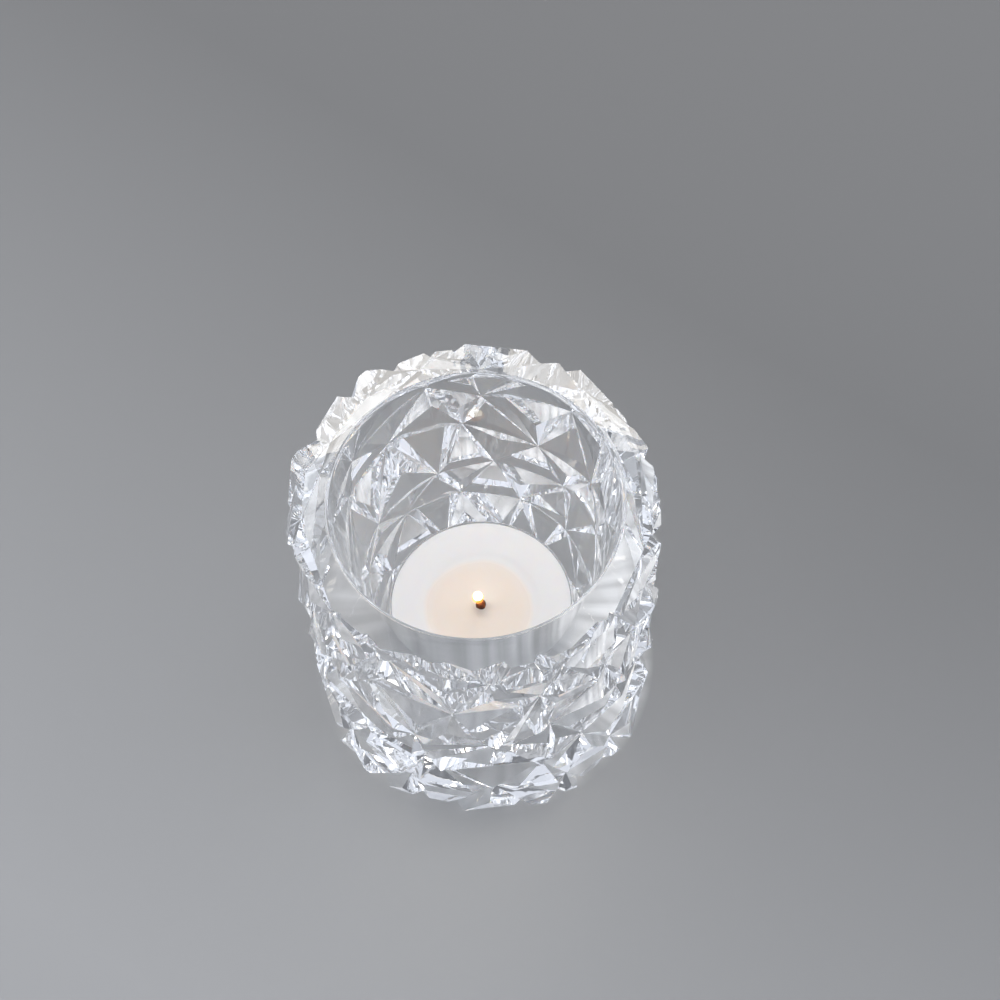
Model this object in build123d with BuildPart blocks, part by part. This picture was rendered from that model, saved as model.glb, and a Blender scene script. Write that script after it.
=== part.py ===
"""Cut-crystal tealight holder: a thick glass bowl with a faceted outside, and the tealight in it.

Millimetres, +Z up. The origin is the centre of the flat base. Bearings are in degrees, anticlockwise
from +X as seen from above, so that -90 is the front.

The outside of the glass is a net of long V grooves that cross each other in triangles. Every triangle
between the grooves rises to a short ridge close to one of its sides or to an off-centre point, so that
the whole outside is flat facets, wide shallow ones beside narrow steep ones.
"""
from build123d import *
from math import cos, hypot, radians, sin
from random import Random
import os

# Glass body: outline
holder_height = 73.0
outer_radius = 37.8
groove_radius_foot = 34.0
groove_radius_top = 34.8

# Glass body: groove net. These are the bearings of one ring of groove crossings; the rings above and
# below it have their crossings half-way between these. The top ring lies above the rim and the lowest
# one below the base, so that rim and base are cut across a band of raised cells.
crossing_bearings = [-163, -134, -107, -76, -49, -22, 10, 38, 66, 95, 126, 160]
ring_count = 7
ring_pitch = 14.4
top_ring_height = 79.0

# Glass body: how uneven the groove net is
bearing_scatter = 6.5
height_scatter = 4.4
radius_scatter = 0.4
scatter = Random(11)

# Glass body: the raised cells between the grooves. Their height is a share of the cell's inner radius.
# Most cells end in a short ridge, the others in a point. The weights below place the two ends of a ridge
# between the corners of its cell: little weight on the far corner brings the ridge close to its side.
cell_steepness = 0.6
steepness_range = (0.75, 1.15)
ridge_share = 0.9
far_corner_weight = (0.04, 0.15)
near_end_weight = (0.55, 0.8)
other_end_weight = (0.1, 0.2)
point_shift = 0.45

# Glass body: bowl inside
bowl_radius_rim = 28.8
rim_rounding = 1.0
floor_height = 12.6
bowl_radius_floor = 20.6
seat_rounding = 1.2

# Tealight
cup_radius = 19.2
cup_wall = 0.4
cup_height = 15.3
cup_foot_rounding = 0.8
wax_depth = 14.5
pool_radius = 11.6
pool_bank = 1.0
pool_dip = 0.3
sustainer_radius = 7.0
sustainer_thickness = 0.3
sustainer_neck_radius = 1.6
sustainer_neck_height = 3.2
wick_radius = 0.8
wick_straight = 15.0
wick_bend_radius = 3.6
wick_bend_angle = 55.0


def on_glass(bearing, radius, height):
    """A point at a bearing and a distance from the upright axis."""
    return Vector(radius * cos(radians(bearing)), radius * sin(radians(bearing)), height)


def ring_of_crossings(ring):
    """One ring of groove crossings, counted from the top one downwards."""
    bearings = crossing_bearings
    if ring % 2:
        one_further = crossing_bearings[1:] + [crossing_bearings[0] + 360]
        bearings = [(here + ahead) / 2 for here, ahead in zip(crossing_bearings, one_further)]
    crossings = []
    for bearing in bearings:
        height = top_ring_height - ring * ring_pitch + scatter.uniform(-height_scatter, height_scatter)
        widening = (groove_radius_top - groove_radius_foot) * height / holder_height
        radius = groove_radius_foot + widening + scatter.uniform(-radius_scatter, radius_scatter)
        shifted = bearing + scatter.uniform(-bearing_scatter, bearing_scatter)
        crossings.append(on_glass(shifted, radius, height))
    return crossings


def facet(first, second, third):
    """A flat triangular facet."""
    return Face(Wire.make_polygon([first, second, third]))


def raised(corners, weights, relief):
    """A point above a cell: the weighted mean of its corners, moved outwards by the relief."""
    weighted = (corner * weight for corner, weight in zip(corners, weights))
    flat = sum(weighted, Vector(0, 0, 0)) / sum(weights)
    flat_radius = hypot(flat.X, flat.Y)
    stretch = min(flat_radius + relief, outer_radius) / flat_radius
    return Vector(flat.X * stretch, flat.Y * stretch, flat.Z)


def raised_cell(*corners):
    """The facets of one triangle of the net, which rise to a point or to a short ridge."""
    turn = scatter.randrange(3)
    cell = corners[turn:] + corners[:turn]
    toe, left, right = cell
    sides = [(right - left).length, (toe - right).length, (left - toe).length]
    inner_radius = (left - toe).cross(right - toe).length / sum(sides)
    relief = inner_radius * cell_steepness * scatter.uniform(*steepness_range)
    if scatter.random() < ridge_share:
        # A ridge close to the side between left and right, and a long shallow facet down to the toe
        toe_weight = scatter.uniform(*far_corner_weight)
        left_weights = (toe_weight, scatter.uniform(*near_end_weight), scatter.uniform(*other_end_weight))
        right_weights = (toe_weight, scatter.uniform(*other_end_weight), scatter.uniform(*near_end_weight))
        ridge_left = raised(cell, left_weights, relief)
        ridge_right = raised(cell, right_weights, relief)
        return [
            facet(left, right, ridge_right),
            facet(left, ridge_right, ridge_left),
            facet(ridge_left, ridge_right, toe),
            facet(toe, left, ridge_left),
            facet(right, toe, ridge_right),
        ]
    # Weighted by the sides opposite to them, the corners average to the triangle's inner centre
    uneven = [side * scatter.uniform(1 - point_shift, 1 + point_shift) for side in sides]
    point = raised(cell, uneven, relief)
    return [facet(toe, left, point), facet(left, right, point), facet(right, toe, point)]


def band_of_cells(upper, lower, lower_lags):
    """All the triangles between one ring of crossings and the ring below it."""
    cells = []
    around = len(upper)
    for place in range(around):
        following = (place + 1) % around
        if lower_lags:
            cells += raised_cell(upper[place], lower[place], lower[following])
            cells += raised_cell(upper[place], lower[following], upper[following])
        else:
            cells += raised_cell(upper[place], lower[place], upper[following])
            cells += raised_cell(lower[place], lower[following], upper[following])
    return cells


def end_cap(crossings, height):
    """A fan of triangles that closes the skin beyond the rim or the base, where it is cut away."""
    centre = Vector(0, 0, height)
    return [facet(here, ahead, centre) for here, ahead in zip(crossings, crossings[1:] + crossings[:1])]


# Glass body ---------------------------------------------------------------------------------------
rings = [ring_of_crossings(ring) for ring in range(ring_count)]
facets = end_cap(rings[0], top_ring_height)
facets += end_cap(rings[-1], top_ring_height - (ring_count - 1) * ring_pitch)
for ring in range(ring_count - 1):
    facets += band_of_cells(rings[ring], rings[ring + 1], lower_lags=ring % 2 == 1)
outside = Solid(Shell(facets))

with BuildPart() as glass_body:
    add(outside)
    # The polished rim and the polished base are cut flat
    split(bisect_by=Plane.XY.offset(holder_height), keep=Keep.BOTTOM)
    split(bisect_by=Plane.XY, keep=Keep.TOP)
    # The bowl inside is smooth and tapers straight down to the tealight's seat
    with BuildSketch(Plane.XZ):
        Polygon(
            (0, floor_height),
            (bowl_radius_floor, floor_height),
            (bowl_radius_rim, holder_height),
            (0, holder_height),
            align=None,
        )
    revolve(axis=Axis.Z, mode=Mode.SUBTRACT)
    bowl_edges = glass_body.edges().filter_by(GeomType.CIRCLE).sort_by(Axis.Z)
    fillet(bowl_edges[-1], radius=rim_rounding)
    fillet(bowl_edges[0], radius=seat_rounding)
glass_body.part.label = "glass_body"

# Tealight cup: clear plastic, stands on the glass floor ---------------------------------------------
cup_floor = floor_height + cup_wall
wax_top = cup_floor + wax_depth

with BuildPart() as tealight_cup:
    with BuildSketch(Plane.XY.offset(floor_height)):
        Circle(cup_radius)
    extrude(amount=cup_height)
    foot_edge = tealight_cup.edges().filter_by(GeomType.CIRCLE).sort_by(Axis.Z)[0]
    fillet(foot_edge, radius=cup_foot_rounding)
    with BuildSketch(Plane.XY.offset(cup_floor)):
        Circle(cup_radius - cup_wall)
    extrude(amount=cup_height, mode=Mode.SUBTRACT)
tealight_cup.part.label = "tealight_cup"

# Wick sustainer: a tin-plate disc with a neck, on the cup's floor -------------------------------------
with BuildPart() as wick_sustainer:
    with BuildSketch(Plane.XY.offset(cup_floor)):
        Circle(sustainer_radius)
    extrude(amount=sustainer_thickness)
    with BuildSketch(Plane.XY.offset(cup_floor)):
        Circle(sustainer_neck_radius)
    extrude(amount=sustainer_neck_height)
    with BuildSketch(Plane.XY.offset(cup_floor)):
        Circle(wick_radius)
    extrude(amount=sustainer_neck_height, mode=Mode.SUBTRACT)
wick_sustainer.part.label = "wick_sustainer"

# Wick: straight through the wax, then curled over towards the front -----------------------------------
with BuildPart() as wick:
    with BuildLine(Plane.YZ) as wick_path:
        stem = Line((0, cup_floor), (0, cup_floor + wick_straight))
        CenterArc(stem @ 1 - (wick_bend_radius, 0), wick_bend_radius, 0, wick_bend_angle)
    with BuildSketch(Plane.XY.offset(cup_floor)):
        Circle(wick_radius)
    sweep(path=wick_path.line)
wick.part.label = "wick"

# Wax: fills the cup round the wick and the sustainer, with a shallow melted pool on top ----------------
neck_top = cup_floor + sustainer_neck_height
disc_top = cup_floor + sustainer_thickness

with BuildPart() as wax:
    with BuildSketch(Plane.XZ):
        with BuildLine():
            Polyline(
                (wick_radius, neck_top),
                (sustainer_neck_radius, neck_top),
                (sustainer_neck_radius, disc_top),
                (sustainer_radius, disc_top),
                (sustainer_radius, cup_floor),
                (cup_radius - cup_wall, cup_floor),
                (cup_radius - cup_wall, wax_top),
                (pool_radius, wax_top),
                (pool_radius - pool_bank, wax_top - pool_dip),
                (wick_radius, wax_top - pool_dip),
                (wick_radius, neck_top),
            )
        make_face()
    revolve(axis=Axis.Z)
wax.part.label = "wax"

# Export -----------------------------------------------------------------------------------------------
os.makedirs("parts", exist_ok=True)
export_step(glass_body.part, "parts/glass_body.step")
export_step(tealight_cup.part, "parts/tealight_cup.step")
export_step(wick_sustainer.part, "parts/wick_sustainer.step")
export_step(wick.part, "parts/wick.step")
export_step(wax.part, "parts/wax.step")
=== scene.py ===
import math

import bmesh
import bpy
from mathutils import Matrix, Vector, noise


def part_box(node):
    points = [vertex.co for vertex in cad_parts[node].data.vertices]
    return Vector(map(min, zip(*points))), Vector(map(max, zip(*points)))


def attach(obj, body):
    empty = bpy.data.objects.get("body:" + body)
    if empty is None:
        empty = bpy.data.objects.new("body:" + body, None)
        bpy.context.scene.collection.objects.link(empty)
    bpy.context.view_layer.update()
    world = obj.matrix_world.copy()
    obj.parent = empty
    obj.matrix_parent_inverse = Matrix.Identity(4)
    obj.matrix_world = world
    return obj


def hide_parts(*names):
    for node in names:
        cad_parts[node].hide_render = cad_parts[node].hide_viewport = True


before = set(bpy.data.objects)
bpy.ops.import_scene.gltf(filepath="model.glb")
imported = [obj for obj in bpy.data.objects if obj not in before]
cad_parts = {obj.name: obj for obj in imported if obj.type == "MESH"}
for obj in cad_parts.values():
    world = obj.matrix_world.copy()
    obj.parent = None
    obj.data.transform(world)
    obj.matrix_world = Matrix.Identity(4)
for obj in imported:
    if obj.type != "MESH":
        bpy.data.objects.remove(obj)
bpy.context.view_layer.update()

# Sizes in metres, in the same frame as the CAD: origin at the centre of the base, +Z up -----------------

MM = 0.001
LATHE_STEPS = 192

# Camera, fitted to the photograph: angles in degrees, focal length and sensor width in millimetres
CAMERA_ELEVATION = 62.4
CAMERA_ROLL = -2.4
CAMERA_DISTANCE = 0.581
CAMERA_LENS = 100.8
CAMERA_SENSOR = 36.0
CAMERA_AIM_HEIGHT = 0.035
CAMERA_PAN_RIGHT = 0.0041
CAMERA_PAN_UP = 0.0182

# Light goes round and round inside cut glass, and each total reflection counts as a glossy bounce
LIGHT_BOUNCES = 40
SEE_THROUGH_BOUNCES = 32

# Floor: its grey in front and further behind, the darker back being painted shade, and how much paler
# painted light makes it under the glass, as a share of the way to white
FLOOR_SIZE = 3.0
FLOOR_BELOW_BASE = 0.05 * MM
FLOOR_GREY_FRONT = 0.44
FLOOR_GREY_BEHIND = 0.22
PAINTED_GATHERED_LIGHT = 0.5
TOWARDS_BACK_RIGHT = (0.6, 0.8, 0)

# Glass body
RIM_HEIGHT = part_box("glass_body")[1].z
FLOOR_HEIGHT = 12.6 * MM
BOWL_RADIUS_FLOOR = 20.6 * MM
BOWL_RADIUS_RIM = 28.8 * MM
RIM_ROUNDING = 1.0 * MM
SEAT_ROUNDING = 1.2 * MM
FACET_BEVEL = 0.22 * MM
BEVEL_FROM_ANGLE = math.radians(7.0)
SAME_FACET_ANGLE = math.radians(0.3)
POINTS_UP = 0.99
WELD_DISTANCE = 0.001 * MM
ON_SURFACE = 0.01 * MM

# Tealight. The wax reaches a little into the cup's wall, so that no two faces lie in one place.
CUP_RADIUS = 19.2 * MM
CUP_WALL = 0.4 * MM
CUP_FOOT_ROUNDING = 0.8 * MM
CUP_LIP_BEVEL = 0.1 * MM
CUP_STANDS_AT = FLOOR_HEIGHT + 0.06 * MM
CUP_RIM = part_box("tealight_cup")[1].z
WAX_INTO_CUP = 0.15 * MM
WAX_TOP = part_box("wax")[1].z
POOL_RADIUS = 11.6 * MM
POOL_MIDDLE = (-0.5 * MM, -1.2 * MM, 0.0)

# Wick: strands twisted together. It frays and thins from a share of its length onwards, and the grain
# of its surface is in bumps per metre.
STRANDS = 3
STRAND_TURNS = 2.2
STRAND_RADIUS = 0.5 * MM
STRAND_OFFSET = 0.5 * MM
STRAND_ROUGHNESS = 0.18
STRAND_GRAIN = 2500
STRAND_CORNERS = 10
STRAND_RINGS = 60
FRAY_FROM = 0.8
FRAY = 0.25
TIP_THINS_FROM = 0.93
TIP_THINNING = 0.75

# Flame: a white core in a wider mantle. The core's numbers are shares of the mantle's sizes.
FLAME_HEIGHT = 4.1 * MM
FLAME_RADIUS = 1.4 * MM
FLAME_RINGS = 28
FLAME_STEPS = 48
CORE_WIDTH = 0.78
CORE_FOOT = 0.25
CORE_TIP = 0.96


def new_piece(name, mesh, material, body, replaces=()):
    """Adds a mesh as a piece that rides on a body and stands for CAD nodes."""
    piece = bpy.data.objects.new(name, mesh)
    bpy.context.scene.collection.objects.link(piece)
    piece.data.materials.clear()
    piece.data.materials.append(material)
    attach(piece, body)
    if replaces:
        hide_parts(*replaces)
    return piece


def evaluated_mesh(piece):
    """The mesh of an object with its modifiers applied."""
    graph = bpy.context.evaluated_depsgraph_get()
    return bpy.data.meshes.new_from_object(piece.evaluated_get(graph), depsgraph=graph)


def finished_mesh(name, shape):
    """Turns a bmesh into a mesh and frees it."""
    mesh = bpy.data.meshes.new(name)
    shape.to_mesh(mesh)
    shape.free()
    return mesh


def lathe(name, profile, steps=LATHE_STEPS, closed=True):
    """A mesh turned about Z from (radius, height) points. Points on the axis become one vertex."""
    shape = bmesh.new()
    angles = [2 * math.pi * step / steps for step in range(steps)]
    rings = []
    for radius, height in profile:
        places = [(radius * math.cos(angle), radius * math.sin(angle), height) for angle in angles]
        on_axis = radius < 1e-7
        rings.append([shape.verts.new(place) for place in (places[:1] if on_axis else places)])
    pairs = list(zip(rings, rings[1:]))
    if closed and len(rings[0]) > 1:
        pairs.append((rings[-1], rings[0]))
    for lower, upper in pairs:
        for step in range(steps):
            ahead = (step + 1) % steps
            corners = [lower[step % len(lower)], lower[ahead % len(lower)],
                       upper[ahead % len(upper)], upper[step % len(upper)]]
            distinct = list(dict.fromkeys(corners))
            if len(distinct) > 2:
                shape.faces.new(distinct)
    bmesh.ops.recalc_face_normals(shape, faces=shape.faces)
    mesh = finished_mesh(name, shape)
    mesh.shade_smooth()
    return mesh


def rounded(before, corner, after, radius, steps):
    """Points along the arc that rounds a corner between two straight runs, ends included."""
    corner = Vector(corner)
    back = (Vector(before) - corner).normalized()
    ahead = (Vector(after) - corner).normalized()
    half = back.angle(ahead) / 2
    centre = corner + (back + ahead).normalized() * radius / math.sin(half)
    first = corner + back * radius / math.tan(half) - centre
    last = corner + ahead * radius / math.tan(half) - centre
    turn = -first.angle_signed(last)
    points = []
    for step in range(steps + 1):
        angle = turn * step / steps
        points.append((centre.x + first.x * math.cos(angle) - first.y * math.sin(angle),
                       centre.y + first.x * math.sin(angle) + first.y * math.cos(angle)))
    return points


# Materials ------------------------------------------------------------------------------------------------

def fill_ramp(ramp, stops):
    """Gives a colour ramp its (position, colour) stops."""
    while len(ramp.elements) < len(stops):
        ramp.elements.new(0.5)
    for element, (position, colour) in zip(ramp.elements, stops):
        element.position = position
        element.color = (*colour, 1.0)


class Shading:
    """A node material being built: a Principled shader and short ways to add nodes behind it."""

    def __init__(self, name):
        self.material = bpy.data.materials.new(name)
        self.material.use_nodes = True
        self.tree = self.material.node_tree
        self.shader = self.tree.nodes["Principled BSDF"]
        self.output = self.tree.nodes["Material Output"]
        self.place = self.node("ShaderNodeTexCoord").outputs["Object"]

    def node(self, kind, **settings):
        made = self.tree.nodes.new(kind)
        for key, value in settings.items():
            setattr(made, key, value)
        return made

    def link(self, output, target):
        self.tree.links.new(output, target)

    def feed(self, output, socket):
        """Links a value or a colour to one of the shader's own sockets."""
        self.link(output, self.shader.inputs[socket])

    def set(self, **values):
        """Sets the shader's own sockets; underscores stand for the spaces in their names."""
        for key, value in values.items():
            self.shader.inputs[key.replace("_", " ")].default_value = value

    def noise(self, scale, detail=3.0, distortion=0.0, place=None):
        made = self.node("ShaderNodeTexNoise")
        made.inputs["Scale"].default_value = scale
        made.inputs["Detail"].default_value = detail
        made.inputs["Distortion"].default_value = distortion
        self.link(place or self.place, made.inputs["Vector"])
        return made.outputs["Fac"]

    def ramp(self, factor, stops):
        """A colour ramp from (position, colour) stops."""
        made = self.node("ShaderNodeValToRGB")
        fill_ramp(made.color_ramp, stops)
        self.link(factor, made.inputs["Fac"])
        return made.outputs["Color"]

    def remap(self, value, source=(0.0, 1.0), target=(0.0, 1.0)):
        """Maps a value from one range to another, and holds it at the ends."""
        made = self.node("ShaderNodeMapRange")
        made.inputs["From Min"].default_value, made.inputs["From Max"].default_value = source
        made.inputs["To Min"].default_value, made.inputs["To Max"].default_value = target
        self.link(value, made.inputs["Value"])
        return made.outputs["Result"]

    def vector_math(self, operation, vector, other=None, result="Value"):
        """A vector operation on a linked vector and, where it needs one, a constant one."""
        made = self.node("ShaderNodeVectorMath", operation=operation)
        self.link(vector, made.inputs[0])
        if other is not None:
            made.inputs[1].default_value = other
        return made.outputs[result]

    def along(self, direction):
        """How far a place lies along a direction."""
        return self.vector_math("DOT_PRODUCT", self.place, direction)

    def multiply(self, factor, other):
        made = self.node("ShaderNodeMath", operation="MULTIPLY")
        self.link(factor, made.inputs[0])
        self.link(other, made.inputs[1])
        return made.outputs["Value"]

    def light_shadow(self, colour):
        """Lets light through to what lies behind clear glass, which casts a pale shadow."""
        see_through = self.node("ShaderNodeBsdfTransparent")
        see_through.inputs["Color"].default_value = (*colour, 1.0)
        mixed = self.node("ShaderNodeMixShader")
        self.link(self.node("ShaderNodeLightPath").outputs["Is Shadow Ray"], mixed.inputs["Fac"])
        self.link(self.shader.outputs["BSDF"], mixed.inputs[1])
        self.link(see_through.outputs["BSDF"], mixed.inputs[2])
        self.link(mixed.outputs["Shader"], self.output.inputs["Surface"])

    def bump(self, height, strength, distance):
        made = self.node("ShaderNodeBump")
        made.inputs["Strength"].default_value = strength
        made.inputs["Distance"].default_value = distance
        self.link(height, made.inputs["Height"])
        self.feed(made.outputs["Normal"], "Normal")


def crystal_material():
    """Clear lead-free crystal: slightly wavy pressed facets, very faint haze where it is handled."""
    made = Shading("crystal")
    made.set(Transmission_Weight=1.0, IOR=1.53, Base_Color=(0.985, 0.992, 1.0, 1.0))
    haze = made.noise(scale=60.0, detail=4.0)
    made.feed(made.remap(haze, source=(0.45, 0.8), target=(0.0, 0.02)), "Roughness")
    made.bump(made.noise(scale=140.0, detail=2.0, distortion=0.4), strength=0.12, distance=0.2 * MM)
    made.light_shadow((0.985, 0.99, 1.0))
    return made.material


def clear_cup_material():
    """Thin clear moulded plastic, a little milky, with faint flow lines."""
    made = Shading("clear_cup")
    made.set(Transmission_Weight=0.8, IOR=1.49, Base_Color=(0.92, 0.925, 0.93, 1.0))
    made.feed(made.remap(made.noise(scale=90.0), target=(0.02, 0.08)), "Roughness")
    made.bump(made.noise(scale=220.0, detail=2.0), strength=0.2, distance=0.1 * MM)
    made.light_shadow((0.98, 0.98, 0.98))
    return made.material


def wax_material():
    """White paraffin, with a wet melted pool round the wick, its warm tint painted glow of the flame."""
    made = Shading("wax")
    made.set(IOR=1.44, Subsurface_Weight=0.8, Subsurface_Scale=4 * MM, Subsurface_Radius=(1.0, 0.8, 0.6))
    flat = made.vector_math("MULTIPLY", made.place, (1.0, 1.0, 0.0), result="Vector")
    wander = made.node("ShaderNodeMath", operation="MULTIPLY_ADD")
    made.link(made.noise(scale=90.0, detail=1.0), wander.inputs[0])
    wander.inputs[1].default_value = 1.2 * MM
    made.link(made.vector_math("DISTANCE", flat, POOL_MIDDLE), wander.inputs[2])
    reach = made.remap(wander.outputs["Value"], source=(9.6 * MM, 14.1 * MM))
    # The melted pool is real; its warm pool and bank colours are painted glow of the flame
    pool, bank = (0.86, 0.755, 0.66), (0.86, 0.775, 0.70)
    white, edge = (0.83, 0.80, 0.77), (0.815, 0.79, 0.77)
    made.feed(made.ramp(reach, [(0.0, pool), (0.42, bank), (0.62, white), (1.0, edge)]), "Base Color")
    made.feed(made.remap(reach, source=(0.35, 0.6), target=(0.22, 0.42)), "Roughness")
    made.bump(made.noise(scale=500.0, detail=5.0), strength=0.12, distance=0.1 * MM)
    return made.material


def wick_material():
    """Braided cotton, charred, with a glowing tip."""
    made = Shading("wick")
    made.set(Roughness=0.9, Emission_Color=(1.0, 0.26, 0.06, 1.0))
    burn = made.node("ShaderNodeAttribute", attribute_name="burn").outputs["Fac"]
    cotton, scorched = (0.75, 0.7, 0.6), (0.12, 0.07, 0.04)
    charred, ash = (0.03, 0.015, 0.012), (0.07, 0.02, 0.01)
    made.feed(made.ramp(burn, [(0.0, cotton), (0.3, scorched), (0.6, charred), (1.0, ash)]), "Base Color")
    curl_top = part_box("wick")[1].z
    upper_side = made.remap(made.along((0, 0, 1)), source=(curl_top - 2.1 * MM, curl_top - 0.9 * MM))
    embers = made.remap(made.noise(scale=1800.0, detail=1.0), source=(0.4, 0.65), target=(0.1, 0.9))
    glow = made.multiply(made.multiply(made.remap(burn, source=(0.6, 0.8)), upper_side), embers)
    made.feed(glow, "Emission Strength")
    made.bump(made.noise(scale=3000.0, detail=4.0), strength=0.5, distance=0.1 * MM)
    return made.material


def tin_material():
    """Tin plate: thin bright metal with rolling marks."""
    made = Shading("tin_plate")
    made.set(Metallic=1.0)
    stretched = made.node("ShaderNodeMapping")
    stretched.inputs["Scale"].default_value = (1.0, 12.0, 1.0)
    made.link(made.place, stretched.inputs["Vector"])
    marks = made.noise(scale=400.0, detail=4.0, place=stretched.outputs["Vector"])
    made.feed(made.ramp(marks, [(0.3, (0.55, 0.55, 0.56)), (0.7, (0.75, 0.75, 0.76))]), "Base Color")
    made.feed(made.remap(marks, target=(0.2, 0.4)), "Roughness")
    made.bump(marks, strength=0.2, distance=0.05 * MM)
    return made.material


def flame_material():
    """A white core in a thin yellow mantle that turns orange at its foot."""
    made = Shading("flame")
    made.set(Base_Color=(0.0, 0.0, 0.0, 1.0), Roughness=1.0)
    up = made.remap(made.along((0, 0, 1)), source=(WAX_TOP + 2.0 * MM, WAX_TOP + 10.0 * MM))
    core = made.node("ShaderNodeAttribute", attribute_name="core").outputs["Fac"]
    colour = made.node("ShaderNodeMix", data_type="RGBA")
    made.link(core, colour.inputs["Factor"])
    red, orange, yellow = (1.0, 0.3, 0.04), (1.0, 0.5, 0.08), (1.0, 0.78, 0.14)
    made.link(made.ramp(up, [(0.0, red), (0.45, orange), (0.65, yellow)]), colour.inputs["A"])
    colour.inputs["B"].default_value = (1.0, 0.93, 0.75, 1.0)
    made.feed(colour.outputs["Result"], "Emission Color")
    made.feed(made.remap(core, target=(3.0, 6.0)), "Emission Strength")
    made.feed(made.remap(core, target=(0.25, 1.0)), "Alpha")
    return made.material


def floor_material():
    """Matt grey that darkens towards the back as painted shade, with painted light under the glass where it
    would gather light.
    """
    made = Shading("floor")
    made.set(Roughness=0.6)
    reach = made.vector_math("LENGTH", made.place)
    outwards = made.vector_math("NORMALIZE", made.place, result="Vector")
    towards_back_right = made.along(TOWARDS_BACK_RIGHT)
    # Painted light under the glass: it falls in rays away from the middle, and more of it at the back on the
    # right
    painted_light_streaks = made.noise(scale=6.0, detail=2.0, place=outwards)
    painted_light_rays = made.node("ShaderNodeMath", operation="MULTIPLY_ADD")
    made.link(made.remap(painted_light_streaks, source=(0.3, 0.7), target=(-0.8, 0.8)), painted_light_rays.inputs[0])
    made.link(made.remap(reach, source=(14 * MM, 26 * MM)), painted_light_rays.inputs[1])
    painted_light_rays.inputs[2].default_value = 1.0
    # Painted pool of light: the floor's colour turns paler under the glass
    painted_light_under_glass = made.remap(reach, source=(31 * MM, 37 * MM), target=(PAINTED_GATHERED_LIGHT, 0.0))
    painted_light_lean = made.remap(towards_back_right, source=(-30 * MM, 30 * MM), target=(0.2, 1.8))
    painted_gathered_light = made.multiply(made.multiply(painted_light_under_glass, painted_light_rays.outputs["Value"]), painted_light_lean)
    # Painted shade: the grey darkens towards the back, where the light falls off
    grey_with_painted_shade = made.remap(towards_back_right, source=(-0.1, 0.1), target=(FLOOR_GREY_FRONT, FLOOR_GREY_BEHIND))
    towards_white = made.node("ShaderNodeMapRange")
    made.link(painted_gathered_light, towards_white.inputs["Value"])
    made.link(grey_with_painted_shade, towards_white.inputs["To Min"])
    made.feed(towards_white.outputs["Result"], "Base Color")
    return made.material


# Glass body -------------------------------------------------------------------------------------------------

def belongs_to_bowl(face):
    """Whether a face of the CAD body is the rim or lies inside the bowl."""
    if face.normal.z > POINTS_UP and face.calc_center_median().z > RIM_HEIGHT - ON_SURFACE:
        return True
    return all(math.hypot(vert.co.x, vert.co.y) < BOWL_RADIUS_RIM + RIM_ROUNDING + ON_SURFACE
               and vert.co.z > FLOOR_HEIGHT - ON_SURFACE for vert in face.verts)


def faceted_blank():
    """The outside of the CAD body as flat facets, closed by a flat rim, with no bowl."""
    shape = bmesh.new()
    shape.from_mesh(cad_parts["glass_body"].data)
    bmesh.ops.remove_doubles(shape, verts=shape.verts, dist=WELD_DISTANCE)
    bmesh.ops.delete(shape, geom=[face for face in shape.faces if belongs_to_bowl(face)], context="FACES")
    bmesh.ops.holes_fill(shape, edges=[edge for edge in shape.edges if edge.is_boundary])
    bmesh.ops.dissolve_limit(shape, angle_limit=SAME_FACET_ANGLE, verts=shape.verts, edges=shape.edges)
    bmesh.ops.recalc_face_normals(shape, faces=shape.faces)
    return finished_mesh("blank", shape)


def bowl_cutter():
    """The bowl inside, as a solid of revolution a little taller than the rim."""
    above = RIM_HEIGHT + 2 * MM
    wall_top, wall_foot = (BOWL_RADIUS_RIM, RIM_HEIGHT), (BOWL_RADIUS_FLOOR, FLOOR_HEIGHT)
    beyond_rim = (BOWL_RADIUS_RIM + 3 * MM, RIM_HEIGHT)
    lip = rounded(beyond_rim, wall_top, wall_foot, RIM_ROUNDING, steps=16)
    seat = rounded(wall_top, wall_foot, (0, FLOOR_HEIGHT), SEAT_ROUNDING, steps=14)
    profile = [(0.0, above), (lip[0][0], above), *lip, *seat, (0.0, FLOOR_HEIGHT)]
    return lathe("bowl_cutter", profile)


def hollowed_mesh():
    """The faceted blank with the bowl cut out of it."""
    blank = bpy.data.objects.new("blank", faceted_blank())
    cutter = bpy.data.objects.new("cutter", bowl_cutter())
    for thing in (blank, cutter):
        bpy.context.scene.collection.objects.link(thing)
    cut = blank.modifiers.new("bowl", "BOOLEAN")
    cut.operation = "DIFFERENCE"
    cut.object = cutter
    cut.solver = "EXACT"
    mesh = evaluated_mesh(blank)
    mesh.shade_smooth()
    for thing in (blank, cutter):
        bpy.data.objects.remove(thing)
    return mesh


def glass_body():
    mesh = hollowed_mesh()
    piece = new_piece("crystal_body", mesh, crystal_material(), "holder", ["glass_body"])
    bevel = piece.modifiers.new("polished_edges", "BEVEL")
    bevel.limit_method = "ANGLE"
    bevel.angle_limit = BEVEL_FROM_ANGLE
    bevel.width = FACET_BEVEL
    bevel.segments = 2
    bevel.use_clamp_overlap = True
    # The wide facets keep one flat normal each, so that only the polished edges look round
    flatten = piece.modifiers.new("flat_facets", "WEIGHTED_NORMAL")
    flatten.mode = "FACE_AREA"
    flatten.weight = 100
    flatten.keep_sharp = False
    applied = evaluated_mesh(piece)
    piece.modifiers.clear()
    piece.data = applied


# Tealight ---------------------------------------------------------------------------------------------------

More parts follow.
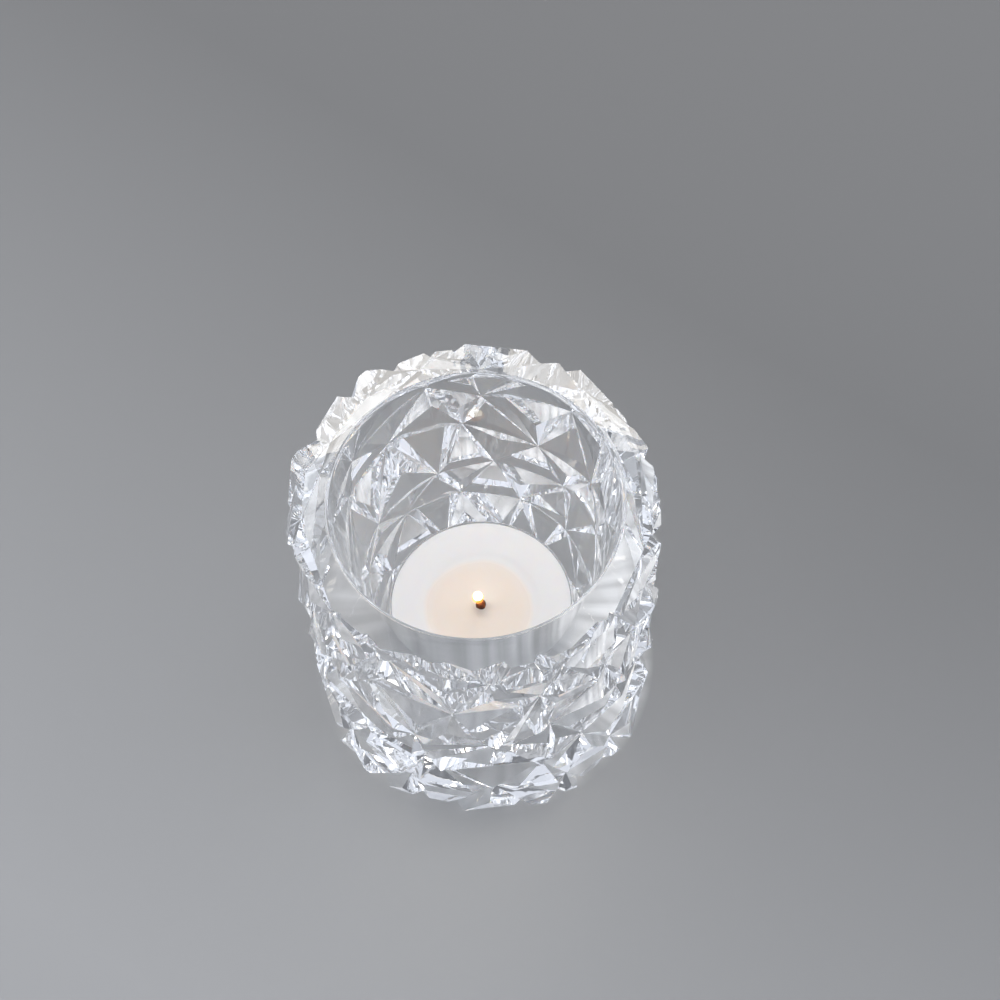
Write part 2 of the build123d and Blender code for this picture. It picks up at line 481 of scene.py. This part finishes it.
def tealight_cup():
    inside, floor_top, half_foot = CUP_RADIUS - CUP_WALL, CUP_STANDS_AT + CUP_WALL, CUP_FOOT_ROUNDING / 2
    middle, foot, rim = (0.0, CUP_STANDS_AT), (CUP_RADIUS, CUP_STANDS_AT), (CUP_RADIUS, CUP_RIM)
    outer = [middle, *rounded(middle, foot, rim, CUP_FOOT_ROUNDING, steps=8)]
    lip = [(CUP_RADIUS, CUP_RIM - CUP_LIP_BEVEL), (CUP_RADIUS - CUP_LIP_BEVEL, CUP_RIM),
           (inside + CUP_LIP_BEVEL, CUP_RIM), (inside, CUP_RIM - CUP_LIP_BEVEL)]
    inner = [(inside, floor_top + half_foot), (inside - half_foot, floor_top), (0.0, floor_top)]
    mesh = lathe("clear_cup", outer + lip + inner)
    mesh.set_sharp_from_angle(angle=math.radians(50.0))
    new_piece("clear_cup", mesh, clear_cup_material(), "tealight", ["tealight_cup"])


def wax():
    """The wax, from the middle of its base round the outside to the wick, where it climbs a little."""
    edge = CUP_RADIUS - CUP_WALL + WAX_INTO_CUP
    base = CUP_STANDS_AT + CUP_WALL - WAX_INTO_CUP
    side = [(0.0, base), (edge - 0.4 * MM, base), (edge, base + 0.4 * MM), (edge, WAX_TOP)]
    meniscus = [(edge - 0.25 * MM, WAX_TOP - 0.05 * MM), (edge - 0.9 * MM, WAX_TOP - 0.16 * MM),
                (edge - 2.5 * MM, WAX_TOP - 0.2 * MM)]
    pool = [(POOL_RADIUS + 1.4 * MM, WAX_TOP - 0.2 * MM), (POOL_RADIUS + 0.6 * MM, WAX_TOP - 0.24 * MM),
            (POOL_RADIUS, WAX_TOP - 0.34 * MM), (POOL_RADIUS - 0.8 * MM, WAX_TOP - 0.38 * MM),
            (6.0 * MM, WAX_TOP - 0.4 * MM)]
    round_wick = [(2.4 * MM, WAX_TOP - 0.38 * MM), (1.5 * MM, WAX_TOP - 0.3 * MM),
                  (1.0 * MM, WAX_TOP - 0.12 * MM), (0.7 * MM, WAX_TOP + 0.05 * MM),
                  (0.0, WAX_TOP + 0.05 * MM)]
    mesh = lathe("wax_fill", side + meniscus + pool + round_wick)
    new_piece("wax_fill", mesh, wax_material(), "tealight", ["wax"])


def wick_path(share):
    """Where the middle of the wick is, from the wax (0) to its curled tip (1)."""
    tip_low, tip_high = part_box("wick")
    start = Vector((0, 0, WAX_TOP - 2 * MM))
    bend_from = Vector((0, 0, tip_high.z - 3.1 * MM))
    tip = Vector((-0.1 * MM, tip_low.y + 0.2 * MM, tip_high.z - 1.5 * MM))
    return start.lerp(bend_from, share).lerp(bend_from.lerp(tip, share), share)


def strand_ring(share, twist):
    """One ring of a strand: the places of its corners, thinner at the tip and a little rough."""
    direction = (wick_path(min(share + 0.01, 1.01)) - wick_path(share - 0.01)).normalized()
    side = direction.cross(Vector((0, 1, 0.2))).normalized()
    other = direction.cross(side)
    fray = 1.0 + FRAY * max(0.0, share - FRAY_FROM) / (1 - FRAY_FROM)
    centre = wick_path(share) + (side * math.cos(twist) + other * math.sin(twist)) * STRAND_OFFSET * fray
    thinning = TIP_THINNING * max(0.0, share - TIP_THINS_FROM) / (1 - TIP_THINS_FROM)
    ring = []
    for corner in range(STRAND_CORNERS):
        angle = 2 * math.pi * corner / STRAND_CORNERS
        offset = (side * math.cos(angle) + other * math.sin(angle)) * STRAND_RADIUS * (1 - thinning)
        bumps = noise.noise((centre + offset) * STRAND_GRAIN)
        ring.append(centre + offset * (1 + STRAND_ROUGHNESS * bumps))
    return ring


def wick():
    shape = bmesh.new()
    burn_layer = shape.verts.layers.float.new("burn")
    for strand in range(STRANDS):
        rings = []
        for step in range(STRAND_RINGS + 1):
            share = step / STRAND_RINGS
            twist = 2 * math.pi * (strand / STRANDS + STRAND_TURNS * share)
            rings.append([shape.verts.new(place) for place in strand_ring(share, twist)])
            for vertex in rings[-1]:
                vertex[burn_layer] = share
        for lower, upper in zip(rings, rings[1:]):
            for corner in range(STRAND_CORNERS):
                ahead = (corner + 1) % STRAND_CORNERS
                shape.faces.new((lower[corner], lower[ahead], upper[ahead], upper[corner]))
        shape.faces.new(rings[0][::-1])
        shape.faces.new(rings[-1])
    bmesh.ops.recalc_face_normals(shape, faces=shape.faces)
    mesh = finished_mesh("wick_braid", shape)
    mesh.shade_smooth()
    new_piece("wick_braid", mesh, wick_material(), "tealight", ["wick"])


def flame():
    tip_low, tip_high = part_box("wick")
    foot = Vector((-0.6 * MM, tip_low.y + 1.25 * MM, tip_high.z - 0.9 * MM))
    mantle, core = [], []
    for ring in range(FLAME_RINGS + 1):
        share = ring / FLAME_RINGS
        bulge = math.sin(math.pi * share ** 0.62) ** 0.9 * (1 - 0.35 * share)
        radius = FLAME_RADIUS * bulge if 0 < ring < FLAME_RINGS else 0.0
        mantle.append((radius, FLAME_HEIGHT * share))
        core.append((radius * CORE_WIDTH, FLAME_HEIGHT * (CORE_FOOT + (CORE_TIP - CORE_FOOT) * share)))
    shape = bmesh.new()
    shape.from_mesh(lathe("mantle", mantle, steps=FLAME_STEPS, closed=False))
    shape.verts.layers.float.new("core")
    in_mantle = len(shape.verts)
    shape.from_mesh(lathe("core", core, steps=FLAME_STEPS, closed=False))
    core_layer = shape.verts.layers.float["core"]
    shape.verts.ensure_lookup_table()
    for vertex in shape.verts[in_mantle:]:
        vertex[core_layer] = 1.0
    mesh = finished_mesh("flame", shape)
    mesh.shade_smooth()
    mesh.transform(Matrix.Translation(foot))
    new_piece("flame", mesh, flame_material(), "tealight")


def wick_sustainer():
    """The CAD shape stays, and only its material is new."""
    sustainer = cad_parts["wick_sustainer"]
    sustainer.data.materials.clear()
    sustainer.data.materials.append(tin_material())


# Floor, light and camera ------------------------------------------------------------------------------------

def floor():
    shape = bmesh.new()
    bmesh.ops.create_grid(shape, x_segments=2, y_segments=2, size=FLOOR_SIZE)
    mesh = finished_mesh("floor", shape)
    mesh.materials.append(floor_material())
    plane = bpy.data.objects.new("floor", mesh)
    plane.location.z = -FLOOR_BELOW_BASE
    bpy.context.scene.collection.objects.link(plane)


def softbox(name, azimuth, elevation, distance, width, height, radiance, colour):
    """A rectangular light that faces the object, seen from it at an azimuth from +Y and an elevation."""
    across, up = math.radians(azimuth), math.radians(elevation)
    direction = Vector((math.sin(across) * math.cos(up), math.cos(across) * math.cos(up), math.sin(up)))
    lamp = bpy.data.lights.new(name, "AREA")
    lamp.shape = "RECTANGLE"
    lamp.size, lamp.size_y = width, height
    lamp.energy = radiance * math.pi * width * height
    lamp.color = colour
    made = bpy.data.objects.new(name, lamp)
    made.location = Vector((0, 0, 0.5 * RIM_HEIGHT)) + distance * direction
    made.rotation_mode = "QUATERNION"
    made.rotation_quaternion = (-direction).to_track_quat("-Z", "Y")
    bpy.context.scene.collection.objects.link(made)


def lights():
    """Two warm keys that the back of the rim reflects, a small sparkle light and three wide panels."""
    warm, cool = (1.0, 0.92, 0.80), (0.92, 0.96, 1.0)
    softbox("key_left", azimuth=-5.7, elevation=52.5, distance=1.3, width=0.104, height=0.40,
            radiance=6, colour=warm)
    softbox("key_right", azimuth=10.3, elevation=52.5, distance=1.3, width=0.218, height=0.40,
            radiance=6, colour=warm)
    softbox("sparkle", azimuth=26, elevation=44, distance=1.3, width=0.16, height=0.16,
            radiance=7, colour=(1.0, 0.98, 0.95))
    softbox("left_panel", azimuth=-95, elevation=28, distance=1.2, width=0.9, height=0.9,
            radiance=1.0, colour=cool)
    softbox("right_panel", azimuth=80, elevation=30, distance=1.2, width=0.7, height=0.9,
            radiance=1.1, colour=cool)
    softbox("top_panel", azimuth=200, elevation=78, distance=1.5, width=1.2, height=0.8,
            radiance=1.0, colour=(0.95, 0.97, 1.0))


def studio_walls():
    """Pale all round up to a dark ceiling, which gives the glass its darker facets."""
    world = bpy.data.worlds.new("studio")
    world.use_nodes = True
    tree = world.node_tree
    split = tree.nodes.new("ShaderNodeSeparateXYZ")
    tree.links.new(tree.nodes.new("ShaderNodeTexCoord").outputs["Generated"], split.inputs["Vector"])
    shade = tree.nodes.new("ShaderNodeValToRGB")
    tree.links.new(split.outputs["Z"], shade.inputs["Fac"])
    wall, high_wall, ceiling = (0.90, 0.94, 1.04), (0.75, 0.785, 0.87), (0.15, 0.157, 0.174)
    fill_ramp(shade.color_ramp, [(0.0, wall), (0.7, high_wall), (0.8, ceiling)])
    tree.links.new(shade.outputs["Color"], tree.nodes["Background"].inputs["Color"])
    bpy.context.scene.world = world


def camera():
    elevation, roll = math.radians(CAMERA_ELEVATION), math.radians(CAMERA_ROLL)
    forward = Vector((0, math.cos(elevation), -math.sin(elevation)))
    level_right = Vector((1, 0, 0))
    level_up = Vector((0, math.sin(elevation), math.cos(elevation)))
    right = level_right * math.cos(roll) + level_up * math.sin(roll)
    up = level_up * math.cos(roll) - level_right * math.sin(roll)
    lens = bpy.data.cameras.new("camera")
    lens.lens = CAMERA_LENS
    lens.sensor_width = CAMERA_SENSOR
    lens.clip_start, lens.clip_end = 0.01, 20
    made = bpy.data.objects.new("camera", lens)
    place = Vector((0, 0, CAMERA_AIM_HEIGHT)) - forward * CAMERA_DISTANCE
    place += right * CAMERA_PAN_RIGHT + up * CAMERA_PAN_UP
    made.matrix_world = Matrix.Translation(place) @ Matrix((right, up, -forward)).transposed().to_4x4()
    bpy.context.scene.collection.objects.link(made)
    bpy.context.scene.camera = made


def light_paths():
    cycles = bpy.context.scene.cycles
    cycles.max_bounces = LIGHT_BOUNCES
    cycles.transmission_bounces = LIGHT_BOUNCES
    cycles.glossy_bounces = LIGHT_BOUNCES
    cycles.transparent_max_bounces = SEE_THROUGH_BOUNCES


glass_body()
tealight_cup()
wax()
wick()
flame()
wick_sustainer()
floor()
lights()
studio_walls()
camera()
light_paths()
bpy.context.scene.view_settings.view_transform = "Standard"
